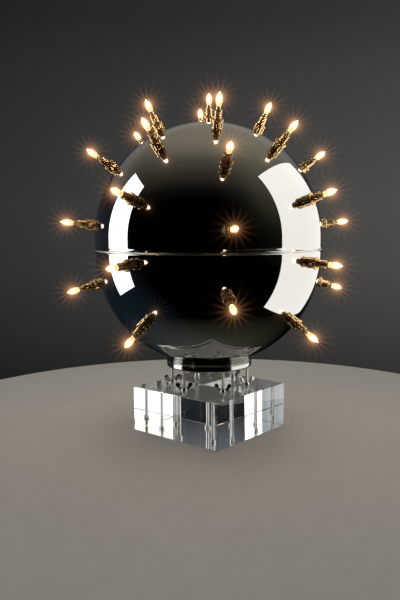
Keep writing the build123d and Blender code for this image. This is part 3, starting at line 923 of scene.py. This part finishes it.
# ================================ floor, light and camera =================================
FLOOR_R = 720.0
FLOOR_THICK = 21.6
FLOOR_EDGE = 2.0
FLOOR_MIDDLE = 226.0
FLOOR_GAP = 0.4
CAMERA_TURN = math.radians(39.97)
CAMERA_AWAY = 1.3807
CAMERA_HIGH = 0.4203
CAMERA_PITCH = math.radians(6.475)
CAMERA_YAW = math.radians(-0.741)
CAMERA_ROLL = math.radians(-0.44)
CAMERA_LENS = 41.36
RIGHT_PANEL_FACES = (-0.976, 0.217, 0.0)
LEFT_PANEL_FACES = (0.982, -0.19, 0.0)
RIGHT_RADIANCE = 1.2
LEFT_RADIANCE = 2.4
GLARE_FROM = 6.0
HALO_STRENGTH = 0.7
HALO_SIZE = 0.1
HALO_TINT = (1.0, 0.62, 0.36, 1.0)
RAY_STRENGTH = 0.45
RAY_COUNT = 16
RAY_TURN = 0.1
RAY_FADE = 0.81


def floor():
    """A plain pale disc for the lamp to stand on, a hair below the block so that the block keeps
    its air gap. The square middle is a piece of its own, because the polished ball and the clear
    block show only that much of the floor."""
    material, tree, shader = new_material(
        "pale_floor", Base_Color=(0.62, 0.6, 0.57), Roughness=0.8, Specular_IOR_Level=0.0
    )
    grain = noise(tree, 30.0, detail=4.0)
    tint(tree, shader, grain, (0.58, 0.56, 0.53), (0.64, 0.62, 0.59))
    top = -FLOOR_GAP
    foot = top - FLOOR_THICK
    half = FLOOR_MIDDLE / 2
    square = [(-half, -half), (half, -half), (half, half), (-half, half)]
    sides = [(k, (k + 1) % 4, (k + 1) % 4 + 4, k + 4) for k in range(4)]
    middle = Shape()
    middle.add(
        [(x, y, z) for z in (foot, top) for x, y in square],
        [(3, 2, 1, 0), (4, 5, 6, 7)] + sides,
    )
    disc_top = top - 0.1
    section = [
        (0.0, foot),
        (FLOOR_R - FLOOR_EDGE, foot),
        (FLOOR_R, foot + FLOOR_EDGE),
        (FLOOR_R, top - FLOOR_EDGE),
        (FLOOR_R - FLOOR_EDGE, disc_top),
        (0.0, disc_top),
    ]
    disc = Shape()
    disc.lathe(section, WIDE_SEGMENTS, closed=False)
    for name, shape, mirrored in (("floor_middle", middle, True), ("floor_disc", disc, False)):
        piece = bpy.data.objects.new(name, shape.mesh(name, [material]))
        bpy.context.scene.collection.objects.link(piece)
        piece.visible_glossy = mirrored
        piece.visible_transmission = mirrored


def view_matrix():
    """The camera's place and turn, in the row frame."""
    cp, sp = math.cos(CAMERA_PITCH), math.sin(CAMERA_PITCH)
    cy, sy = math.cos(CAMERA_YAW), math.sin(CAMERA_YAW)
    ahead = Vector((sy * cp, cy * cp, -sp))
    right = Vector((cy, -sy, 0))
    up = right.cross(ahead)
    cr, sr = math.cos(CAMERA_ROLL), math.sin(CAMERA_ROLL)
    rolled_right = right * cr + up * sr
    rolled_up = up * cr - right * sr
    turn = Matrix((rolled_right, rolled_up, -ahead)).transposed().to_4x4()
    place = Matrix.Translation((0, -CAMERA_AWAY, CAMERA_HIGH))
    return Matrix.Rotation(CAMERA_TURN, 4, "Z") @ place @ turn


def camera():
    data = bpy.data.cameras.new("camera")
    data.lens = CAMERA_LENS
    data.sensor_width = 36.0
    made = bpy.data.objects.new("camera", data)
    bpy.context.scene.collection.objects.link(made)
    made.matrix_world = view_matrix()
    bpy.context.scene.camera = made


def panel(name, centre, facing, wide, high, radiance, colour=(1, 1, 1)):
    """A soft box: a rectangular light that the camera doesn't see. centre and facing are in the
    camera's upright frame, where +Y is away from the camera."""
    data = bpy.data.lights.new(name, "AREA")
    data.shape = "RECTANGLE"
    data.size = wide
    data.size_y = high
    data.energy = radiance * wide * high * math.pi
    data.color = colour
    light = bpy.data.objects.new(name, data)
    bpy.context.scene.collection.objects.link(light)
    turn = Vector(facing).to_track_quat("-Z", "Y").to_matrix().to_4x4()
    light.matrix_world = Matrix.Rotation(CAMERA_TURN, 4, "Z") @ Matrix.Translation(centre) @ turn
    light.visible_camera = False
    return light


def seen_from_camera(x, y, z):
    """A direction given as right, away and up of the camera's upright frame, in the world's."""
    return Matrix.Rotation(CAMERA_TURN, 3, "Z") @ Vector((x, y, z))


def world():
    """Dark studio. Seen directly it is a grey backdrop that fades towards the floor. The metal and
    the block see it only behind the object, with a soft warm glow overhead and beside the right
    panel, and a trace of light from below. The rest of the camera's side is black to them."""
    made = bpy.data.worlds.new("studio")
    made.use_nodes = True
    tree = made.node_tree
    shade = tree.nodes["Background"]
    coord = node(tree, "ShaderNodeTexCoord")

    def along(x, y, z):
        """How far a ray goes the given way in the camera's upright frame, from -1 to 1."""
        dot = node(tree, "ShaderNodeVectorMath", operation="DOT_PRODUCT")
        dot.inputs[1].default_value = seen_from_camera(x, y, z)
        tree.links.new(coord.outputs["Generated"], dot.inputs[0])
        return dot.outputs["Value"]

    def graded(source, low, high, stops):
        """Colours at given values of source, which has to stay between low and high."""
        level = node(tree, "ShaderNodeValToRGB")
        elements = level.color_ramp.elements
        while len(elements) < len(stops):
            elements.new(0.5)
        for element, (at, colour) in zip(elements, stops):
            element.position = (at - low) / (high - low)
            element.color = (*colour, 1.0)
        tree.links.new(ramp(tree, source, low, high, 0.0, 1.0), level.inputs["Fac"])
        return level.outputs["Color"]

    def mixed(kind, first, second):
        both = node(tree, "ShaderNodeMix", data_type="RGBA", blend_type=kind)
        both.inputs["Factor"].default_value = 1.0
        tree.links.new(first, both.inputs["A"])
        tree.links.new(second, both.inputs["B"])
        return both.outputs["Result"]

    def grey(level):
        return (level, level, level)

    def warm(level):
        return (level * 1.13, level, level * 0.74)

    backdrop = graded(
        along(0, 0, 1),
        -0.42,
        0.42,
        [
            (-0.386, grey(0.0)),
            (-0.308, grey(0.004)),
            (-0.227, grey(0.02)),
            (-0.141, grey(0.036)),
            (-0.055, grey(0.049)),
            (0.031, grey(0.052)),
            (0.115, grey(0.045)),
            (0.195, grey(0.037)),
            (0.269, grey(0.026)),
            (0.4, grey(0.02)),
        ],
    )
    sideways = graded(
        along(1, 0, 0),
        -0.5,
        0.5,
        [
            (-0.5, (0.35, 0.37, 0.38)),
            (-0.28, (0.6, 0.65, 0.66)),
            (0.0, (1.0, 1.0, 0.98)),
            (0.28, (1.42, 1.4, 1.3)),
            (0.5, (1.0, 1.0, 0.95)),
        ],
    )
    behind = graded(along(0, 1, 0), 0.2, 0.8, [(0.2, grey(0.0)), (0.8, grey(1.0))])
    overhead = graded(
        along(0.06, 0.5, 0.86),
        0.1,
        1.0,
        [
            (0.1, grey(0.0)),
            (0.3, warm(0.005)),
            (0.4, warm(0.015)),
            (0.55, warm(0.032)),
            (0.71, warm(0.065)),
            (0.79, warm(0.09)),
            (0.86, warm(0.14)),
            (0.96, warm(0.19)),
        ],
    )
    high_up = graded(along(0, 0, 1), 0.27, 0.5, [(0.27, grey(0.0)), (0.5, grey(1.0))])
    over_wall = graded(
        along(0, 0, 1),
        0.2,
        0.7,
        [
            (0.27, grey(0.0)),
            (0.32, (0.08, 0.092, 0.112)),
            (0.5, (0.08, 0.08, 0.075)),
            (0.7, grey(0.0)),
        ],
    )
    low_left = graded(
        along(-0.62, 0.5, -0.6),
        0.5,
        1.0,
        [(0.5, grey(0.0)), (0.8, (0.004, 0.008, 0.012)), (1.0, (0.007, 0.013, 0.02))],
    )
    far_below = graded(
        along(0.0, 0.35, -0.94),
        0.7,
        1.0,
        [(0.7, grey(0.0)), (0.9, (0.024, 0.024, 0.016)), (1.0, (0.045, 0.046, 0.032))],
    )
    beside_panel = graded(
        along(0.8, -0.1, 0.59),
        0.6,
        1.0,
        [
            (0.6, grey(0.0)),
            (0.72, (0.003, 0.003, 0.002)),
            (0.83, (0.008, 0.008, 0.0055)),
            (0.9, (0.019, 0.018, 0.012)),
            (0.95, (0.031, 0.03, 0.02)),
            (1.0, (0.036, 0.035, 0.024)),
        ],
    )
    direct = mixed("MULTIPLY", backdrop, sideways)
    wall = mixed("MULTIPLY", mixed("ADD", direct, over_wall), behind)
    above = mixed("ADD", wall, mixed("MULTIPLY", overhead, high_up))
    beneath = mixed("ADD", mixed("ADD", low_left, far_below), beside_panel)
    mirrored = mixed("ADD", above, beneath)
    chosen = node(tree, "ShaderNodeMix", data_type="RGBA")
    path = node(tree, "ShaderNodeLightPath")
    tree.links.new(path.outputs["Is Camera Ray"], chosen.inputs["Factor"])
    tree.links.new(mirrored, chosen.inputs["A"])
    tree.links.new(direct, chosen.inputs["B"])
    tree.links.new(chosen.outputs["Result"], shade.inputs["Color"])
    bpy.context.scene.world = made


def lens_glow():
    """The soft halo and the fine rays that a lens draws round each lit bulb."""
    halo = {"Strength": HALO_STRENGTH, "Size": HALO_SIZE, "Tint": HALO_TINT}
    rays = {
        "Strength": RAY_STRENGTH,
        "Streaks": RAY_COUNT,
        "Streaks Angle": RAY_TURN,
        "Iterations": 3,
        "Fade": RAY_FADE,
        "Color Modulation": 0.0,
        "Tint": HALO_TINT,
    }
    scene = bpy.context.scene
    scene.view_settings.view_transform = "Standard"
    scene.use_nodes = True
    tree = scene.node_tree
    tree.nodes.clear()
    picture = tree.nodes.new("CompositorNodeRLayers").outputs["Image"]
    for kind, settings in (("BLOOM", halo), ("STREAKS", rays)):
        glare = tree.nodes.new("CompositorNodeGlare")
        glare.glare_type = kind
        glare.quality = "HIGH"
        glare.inputs["Threshold"].default_value = GLARE_FROM
        glare.inputs["Saturation"].default_value = 1.0
        for name, value in settings.items():
            glare.inputs[name].default_value = value
        tree.links.new(picture, glare.inputs["Image"])
        picture = glare.outputs["Image"]
    tree.links.new(picture, tree.nodes.new("CompositorNodeComposite").inputs["Image"])


def soft_boxes():
    """Two tall panels that the metal mirrors, three cards that only the clear block shows, and a
    soft box overhead that lights the floor."""
    warm_white = (1.0, 0.97, 0.9)
    cool_white = (0.93, 0.97, 1.0)
    right, left = RIGHT_PANEL_FACES, LEFT_PANEL_FACES
    mirrored = (
        panel("right_panel", (0.47, 0.09, 0.42), right, 0.71, 0.9, RIGHT_RADIANCE, warm_white),
        panel("left_panel", (-1.6, 0.08, 0.66), left, 0.8, 2.14, LEFT_RADIANCE),
    )
    for light in mirrored:
        light.visible_diffuse = False
    seen_through = (
        panel("low_right_panel", (0.5, 0.1, -0.35), right, 0.9, 0.62, RIGHT_RADIANCE),
        panel("low_left_panel", (-1.6, 0.08, -0.78), left, 0.8, 0.74, LEFT_RADIANCE),
        panel("side_card", (-1.4, -0.62, 0.1), (0.91, 0.41, 0.0), 0.75, 1.6, 0.42, cool_white),
    )
    for light in seen_through:
        light.visible_glossy = False
        light.visible_diffuse = False
    overhead = panel("overhead_softbox", (0.0, 0.1, 2.0), (0.0, 0.0, -1.0), 2.6, 2.6, 0.75)
    overhead.visible_glossy = False


floor()
camera()
world()
soft_boxes()
lens_glow()
